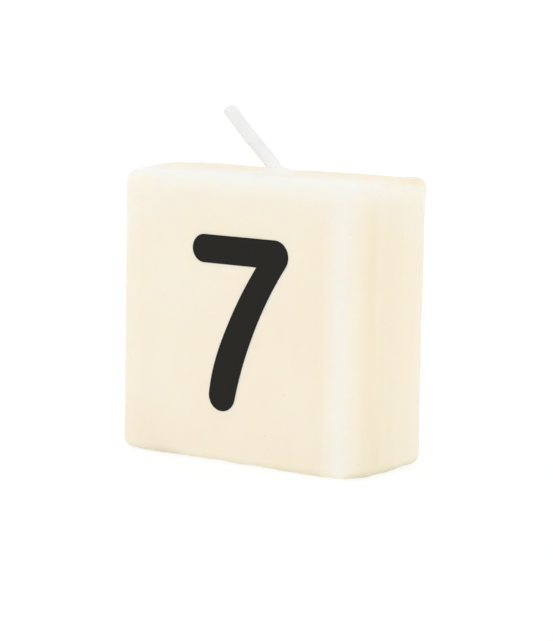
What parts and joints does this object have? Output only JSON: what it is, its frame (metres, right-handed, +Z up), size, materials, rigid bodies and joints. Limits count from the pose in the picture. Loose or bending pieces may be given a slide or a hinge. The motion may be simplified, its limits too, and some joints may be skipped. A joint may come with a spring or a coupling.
{
  "type": "number birthday candle",
  "caption": "Small upright block candle in ivory wax with a plain black numeral 7 on its front face and a waxed cotton wick that leans over from the middle of its top.",
  "frame": {"origin": "middle of the flat base, which is the bottom centre of the whole candle's box", "axes": "+Z up, along the wick's run through the block; -Y is the front, where the numeral is; the wick's free end leans towards -X"},
  "size_m": [0.042, 0.02, 0.0493],
  "materials": {
    "ivory_wax": "cast candle wax, satin and slightly translucent",
    "seal_wax": "poured candle wax, slightly glossier than the block",
    "numeral_film": "matt black transfer film",
    "wick_cotton": "braided cotton coated in clear wax",
    "tinned_steel": "pressed tin-plated steel"
  },
  "bodies": {
    "candle_body": {"wax_block": "ivory_wax", "numeral": "numeral_film", "base_plug": "seal_wax", "wick_sustainer": "tinned_steel", "wick": "wick_cotton", "wick_collar": "seal_wax"},
    "wick_end": {"wick_tip": "wick_cotton"}
  },
  "joints": [
    {"name": "wick_bend", "type": "hinge", "parent": "candle_body", "child": "wick_end", "pos_m": [0, 0, 0.0411], "axis": [0, 1, 0], "range_deg": [-13.7, 106.3]}
  ]
}
